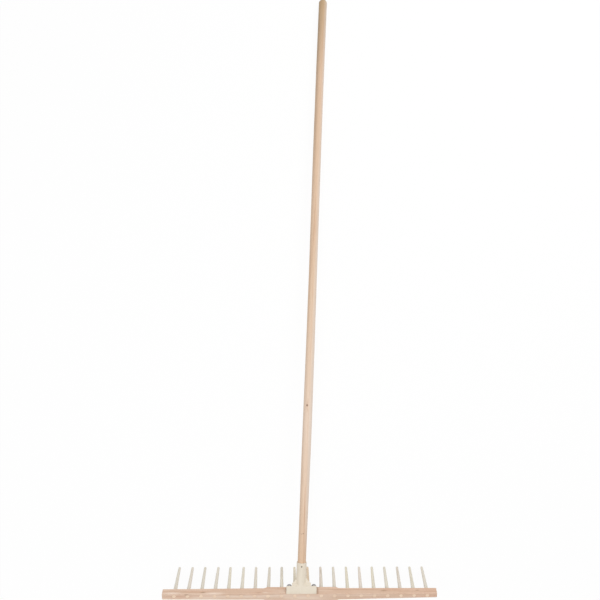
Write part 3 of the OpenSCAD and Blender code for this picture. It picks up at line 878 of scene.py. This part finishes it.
def tooth_rings(sizes, across, rng):
    """Rings of one tooth: eased root end, straight shank, straight taper and round tip, on a bent axis.

    The axis strays sideways by w v^1.3, with v the share of the free length, and the radius carries waves.
    """
    root, tip = 0.5 * sizes.root, 0.5 * sizes.tip
    tip_middle = sizes.length - tip
    cap = [(0.0, -0.12 * MM), (0.55 * root, -0.10 * MM), (root - 0.9 * MM, -0.04 * MM)]
    cap += [(root - 0.35 * MM, 0.06 * MM), (root - 0.08 * MM, 0.32 * MM), (root, 0.7 * MM)]
    shank = np.linspace(1.6 * MM, sizes.shank, 4)
    taper = np.linspace(sizes.shank + 1 * MM, tip_middle, 26)
    v = (taper - sizes.shank) / (tip_middle - sizes.shank)
    turn = np.radians(np.linspace(8, 84, 9))
    profile = np.concatenate([
        cap, points_of(root, shank), points_of(root + (tip - root) * v, taper),
        points_of(tip * np.cos(turn), tip_middle + tip * np.sin(turn)), [[0.0, sizes.length]]])
    r, s = profile[:, :1], profile[:, 1:2]
    a = angles(36)
    free_from = 27 * MM
    free = ease((s - free_from) / (30 * MM)) * ease((sizes.length - s) / (6 * MM))
    phase = rng.uniform(0, 2 * np.pi, 4)
    waves = np.sin(2 * a + phase[0] + s / (31 * MM)) + 0.7 * np.sin(3 * a + phase[1] - s / (22 * MM))
    waves = waves + np.sin(s / (9 * MM) + phase[2])
    r = r + free * (0.07 * MM * waves - 0.10 * MM)
    v = np.clip((s - free_from) / (tip_middle - free_from), 0.0, 1.0)
    stray = (sizes.wander * rng.uniform(-1, 1) - sizes.lean) * v ** 1.3
    return placed(points_of(r * np.cos(a) + stray, r * np.sin(a), s), root_at(sizes, across), TOOTH_AXES)


def eased_moulding(node, grid, rounds):
    """The CAD moulding with its edges and inner corners eased.

    A merged copy is redrawn on an even grid, and each point then moves half way to the middle of its
    neighbours, for a few rounds.
    """
    helper = linked("moulding", frame["nodes"][node].data.copy())
    weld = helper.modifiers.new("merge", "WELD")
    weld.merge_threshold = 0.001 * MM
    redraw = helper.modifiers.new("redraw", "REMESH")
    redraw.mode, redraw.voxel_size, redraw.adaptivity = "VOXEL", grid, 0.0
    soften = helper.modifiers.new("soften", "SMOOTH")
    soften.factor, soften.iterations = 0.5, rounds
    mesh = baked(helper)
    discard(helper)
    return mesh


def bolt_rings(sizes, grip):
    """Rings of a bolt about z: hexagonal head below 0 with turned corners, and a shank as long as grip."""
    half, head = 0.5 * sizes.flats, sizes.head
    corner = half / math.cos(math.pi / 6)
    shank = 0.5 * sizes.bolt
    profile = [(0.0, -head), (half - 0.7 * MM, -head), (half - 0.1 * MM, -head)]
    profile += [(corner - 0.8 * MM, -head + 0.25 * MM), (corner, -head + 0.85 * MM), (corner, -0.45 * MM)]
    profile += [(corner - 0.4 * MM, -0.12 * MM), (half - 0.1 * MM, 0.0), (shank + 0.35 * MM, 0.0)]
    profile += [(shank + 0.1 * MM, 0.12 * MM), (shank, 0.4 * MM), (shank, grip - 0.9 * MM)]
    profile += [(shank - 0.7 * MM, grip), (0.0, grip)]
    return lathe(profile, 72, sizes.flats)


def nut_rings(sizes):
    """Rings of a blind nut about z, from the end of its thread round its base and hexagon to its dome.

    The dome is a cap of a sphere whose radius is (r^2 + h^2) / 2h, with r its own radius and h its height.
    """
    half, nut, high, dome = 0.5 * sizes.flats, sizes.nut, sizes.dome_high, 0.5 * sizes.dome
    corner = half / math.cos(math.pi / 6)
    bore = 0.5 * sizes.bolt + sizes.thread_gap
    deep = nut + sizes.thread_spare
    ball = (dome ** 2 + high ** 2) / (2 * high)
    middle = nut + high - ball
    foot = math.degrees(math.asin((nut - middle + 0.25 * MM) / ball))
    profile = [(0.0, deep), (bore, deep), (bore, 0.8 * MM), (bore + 0.7 * MM, 0.0), (half - 0.2 * MM, 0.0)]
    profile += [(corner - 0.6 * MM, 0.2 * MM), (corner, 0.7 * MM), (corner, nut - 1.0 * MM)]
    profile += [(corner - 0.6 * MM, nut - 0.4 * MM), (dome + 0.2 * MM, nut - 0.03 * MM)]
    profile += [(dome + 0.03 * MM, nut + 0.06 * MM)]
    profile = np.concatenate([profile, corner_arc(0.0, middle, ball, foot, 86, 14), [(0.0, middle + ball)]])
    return lathe(profile, 72, sizes.flats)


def washer_rings(sizes):
    """Rings of a washer about z: a rectangle with eased corners, swept round and closed on itself."""
    turn = 0.25 * MM
    inner, outer = 0.5 * sizes.bolt_hole + turn, 0.5 * sizes.washer - turn
    low, high = turn, WASHER_THICKNESS - turn
    corners = ((outer, low, -90), (outer, high, 0), (inner, high, 90), (inner, low, 180))
    return lathe(np.concatenate([corner_arc(r, z, turn, deg, deg + 90) for r, z, deg in corners]), 64)


def screw_rings(sizes):
    """Rings of the screw about z: its end in the handle, its shank, and a pan head with a cross recess.

    The head's side is an oval arc (r cos t, h (0.35 + 0.65 sin t)). The recess lowers the top by its depth
    times the larger of two slots, each 1 within its width and length and falling smoothly to 0 at its edge.
    """
    shank, head = 0.5 * sizes.screw, 0.5 * sizes.screw_head
    high, end = sizes.screw_head_height, sizes.screw_length
    side = np.radians(np.linspace(12, 64, 7))
    arc = points_of(head * np.cos(side), high * (0.35 + 0.65 * np.sin(side)))
    top, lift = arc[-1]
    r = np.linspace(0.96, 0.04, 26)
    profile = [(0.0, -end), (0.25 * shank, -end + 0.2 * MM), (shank, -end + 3 * MM), (shank, -0.05 * MM)]
    profile += [(shank + 0.05 * MM, 0.0), (head - 0.12 * MM, 0.0), (head, 0.12 * MM), (head, 0.35 * high)]
    crown = points_of(r * top, lift + (high - lift) * (1 - r * r))
    rings = lathe(np.concatenate([profile, arc, crown, [(0.0, high)]]), 96)
    x, y, z = np.moveaxis(rings, -1, 0)
    half_wide, half_long, depth = 0.42 * MM, 1.55 * MM, 1.0 * MM
    slots = [ease((half_wide - np.abs(p)) / (0.14 * MM)) * ease((half_long - np.abs(q)) / (0.4 * MM))
             for p, q in ((x, y), (y, x))]
    return points_of(x, y, z - depth * np.maximum(*slots) * (z > 0.7 * high))


# Operators

class RAKE_OT_handle(bpy.types.Operator):
    """Build the wooden handle"""
    bl_idname = "rake.handle"
    bl_label = "Handle"

    def execute(self, context):
        sizes = context.scene.rake_handle
        mesh = ring_mesh("handle_stick", handle_rings(sizes))
        finished(mesh, "handle_stick", handle_wood(sizes), "handle_wood", "handle", sharp_deg=60)
        return {"FINISHED"}


class RAKE_OT_beam(bpy.types.Operator):
    """Build the wooden beam with its holes"""
    bl_idname = "rake.beam"
    bl_label = "Beam"

    def execute(self, context):
        scene = context.scene
        mesh = beam_mesh(scene.rake_beam, scene.rake_teeth, scene.rake_fasteners)
        finished(mesh, "beam_bar", beam_wood(scene.rake_beam), "beam_wood", "beam")
        return {"FINISHED"}


class RAKE_OT_teeth(bpy.types.Operator):
    """Build the wooden teeth"""
    bl_idname = "rake.teeth"
    bl_label = "Teeth"

    def execute(self, context):
        sizes = context.scene.rake_teeth
        material = tooth_wood(sizes)
        rng = np.random.default_rng(TOOTH_SEED)
        for order, across in enumerate(tooth_across(sizes), start=1):
            name = f"peg_{order:02d}"
            mesh = ring_mesh(name, tooth_rings(sizes, across, rng))
            finished(mesh, name, material, "tooth_wood", f"tooth_{order:02d}", sharp_deg=60)
        return {"FINISHED"}


class RAKE_OT_socket(bpy.types.Operator):
    """Build the moulded socket"""
    bl_idname = "rake.socket"
    bl_label = "Socket"

    def execute(self, context):
        sizes = context.scene.rake_socket
        mesh = eased_moulding("socket", sizes.grid, sizes.softening)
        finished(mesh, "socket_moulding", socket_plastic(sizes), "socket_plastic", "socket", sharp_deg=80)
        return {"FINISHED"}


class RAKE_OT_fasteners(bpy.types.Operator):
    """Build the bolts, nuts, washers and screw"""
    bl_idname = "rake.fasteners"
    bl_label = "Fasteners"

    def execute(self, context):
        sizes = context.scene.rake_fasteners
        beam_thick = context.scene.rake_beam.thick
        shank = beam_thick + 2 * WASHER_THICKNESS + FOOT_THICKNESS + sizes.nut
        # Name, rings, height above the beam's face, and whether the rings close on themselves
        kinds = (
            ("bolt", bolt_rings(sizes, shank), -beam_thick - WASHER_THICKNESS, False),
            ("nut", nut_rings(sizes), FOOT_THICKNESS + WASHER_THICKNESS, False),
            ("washer_top", washer_rings(sizes), FOOT_THICKNESS, True),
            ("washer_back", washer_rings(sizes), -beam_thick - WASHER_THICKNESS, True),
        )
        for word, side in (("left", -1), ("right", 1)):
            origin = bolt_at(side)
            material = zinc(f"zinc_{word}", sizes.zinc, origin, BOLT_AXES)
            for kind, rings, height, looped in kinds:
                name = f"zinc_{kind}_{word}"
                mesh = ring_mesh(name, placed(rings, origin + height * FACE_OUT, BOLT_AXES), looped)
                finished(mesh, name, material, "fastener_steel", f"{kind}_{word}", sharp_deg=32)
        seat = RIM - SCREW_BELOW_RIM * ALONG + TUBE_RADIUS * UP
        axes = (RIGHT, ALONG, UP)
        material = zinc("zinc_screw", sizes.screw_zinc, seat, axes, sizes.screw_soil)
        mesh = ring_mesh("pan_screw", placed(screw_rings(sizes), seat, axes))
        finished(mesh, "pan_screw", material, "screw_steel", "socket_screw")
        return {"FINISHED"}


class RAKE_OT_stage(bpy.types.Operator):
    """Set up the floor, the lamps and the camera"""
    bl_idname = "rake.stage"
    bl_label = "Stage"

    def execute(self, context):
        sizes = context.scene.rake_stage
        lay_floor(sizes)
        light_world(context.scene, sizes)
        lamp("key", KEY_LAMP_AT, KEY_LAMP_SIZE, sizes.key)
        lamp("fill", FILL_LAMP_AT, FILL_LAMP_SIZE, sizes.fill)
        set_camera(context.scene, sizes)
        context.scene.view_settings.view_transform = "Standard"
        return {"FINISHED"}


def lay_floor(sizes):
    """A wide round floor at z = 0 that the camera sees nearly white, with the rake's soft shadow on it."""
    a = angles(64)
    j = np.arange(64)
    rim = FLOOR_RADIUS * points_of(np.cos(a), np.sin(a), 0.0)
    mesh = new_mesh("floor", np.concatenate([rim, [[0, 0, 0]]]), np.zeros((0, 4), int),
                    points_of(64, j, (j + 1) % 64))
    material = bpy.data.materials.new("floor_white")
    tree = Tree(material)
    plain = tree.node("ShaderNodeBsdfDiffuse", {}, {"Color": sizes.floor})
    white = tree.node("ShaderNodeEmission", {}, {"Color": (1, 1, 1), "Strength": 1.0})
    amount = tree.times(tree.seen_directly(), sizes.floor_glow)
    seen = tree.node("ShaderNodeMixShader", {}, {0: amount, 1: plain, 2: white})
    tree.end("ShaderNodeOutputMaterial", seen)
    mesh.materials.append(material)
    floor = linked("floor", mesh)


def light_world(scene, sizes):
    """Even light from all sides, which the camera sees as plain white."""
    scene.world = bpy.data.worlds.new("studio")
    tree = Tree(scene.world)
    strength = tree.spread(tree.seen_directly(), 0.0, 1.0, sizes.world, 1.0, smooth=False)
    sky = tree.node("ShaderNodeBackground", {}, {"Color": (1, 1, 1), "Strength": strength})
    tree.end("ShaderNodeOutputWorld", sky)


def lamp(name, at, size, power):
    """A square soft lamp at a place, turned to the rake."""
    data = bpy.data.lights.new(name, "AREA")
    data.shape, data.size, data.energy = "SQUARE", size, power
    light = linked(name, data)
    light.location = at
    light.rotation_euler = (Vector(at) - Vector(LAMP_AIM)).to_track_quat("Z", "Y").to_euler()


def set_camera(scene, sizes):
    """The photograph's camera, over the rake. Its lens and shift follow from its focal length and centre."""
    data = bpy.data.cameras.new("camera")
    data.sensor_width = 36.0
    data.lens = sizes.focal * data.sensor_width
    data.shift_x = 0.5 - sizes.centre_x
    data.shift_y = sizes.centre_y - 0.5
    data.clip_start, data.clip_end = 0.05, 100.0
    camera = linked("camera", data)
    camera.location = sizes.camera_at
    camera.rotation_euler = sizes.camera_turn
    scene.camera = camera


class RAKE_PT_sidebar(bpy.types.Panel):
    """Lists the rake's pieces with their sizes and colours"""
    bl_idname = "RAKE_PT_sidebar"
    bl_label = "Hay Rake"
    bl_space_type = "VIEW_3D"
    bl_region_type = "UI"
    bl_category = "Hay Rake"

    def draw(self, context):
        for operator, name, _ in PARTS:
            box = self.layout.box()
            box.operator(operator.bl_idname)
            settings = getattr(context.scene, name)
            for key in settings.bl_rna.properties.keys():
                if key not in ("rna_type", "name"):
                    box.prop(settings, key)


# Each operator with its settings: their name in the scene, and their kind
PARTS = (
    (RAKE_OT_handle, "rake_handle", RakeHandle), (RAKE_OT_beam, "rake_beam", RakeBeam),
    (RAKE_OT_teeth, "rake_teeth", RakeTeeth), (RAKE_OT_socket, "rake_socket", RakeSocket),
    (RAKE_OT_fasteners, "rake_fasteners", RakeFasteners), (RAKE_OT_stage, "rake_stage", RakeStage),
)


def register():
    """Makes the settings, the operators and the panel known to Blender."""
    for operator, name, group in PARTS:
        bpy.utils.register_class(group)
        setattr(bpy.types.Scene, name, PointerProperty(type=group))
        bpy.utils.register_class(operator)
    bpy.utils.register_class(RAKE_PT_sidebar)


def unregister():
    """Takes them away again."""
    bpy.utils.unregister_class(RAKE_PT_sidebar)
    for operator, name, group in PARTS:
        bpy.utils.unregister_class(operator)
        delattr(bpy.types.Scene, name)
        bpy.utils.unregister_class(group)


def main():
    """Builds every piece and the stage."""
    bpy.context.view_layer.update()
    register()
    bpy.ops.rake.handle()
    bpy.ops.rake.beam()
    bpy.ops.rake.teeth()
    bpy.ops.rake.socket()
    bpy.ops.rake.fasteners()
    bpy.ops.rake.stage()


if __name__ == "__main__":
    main()
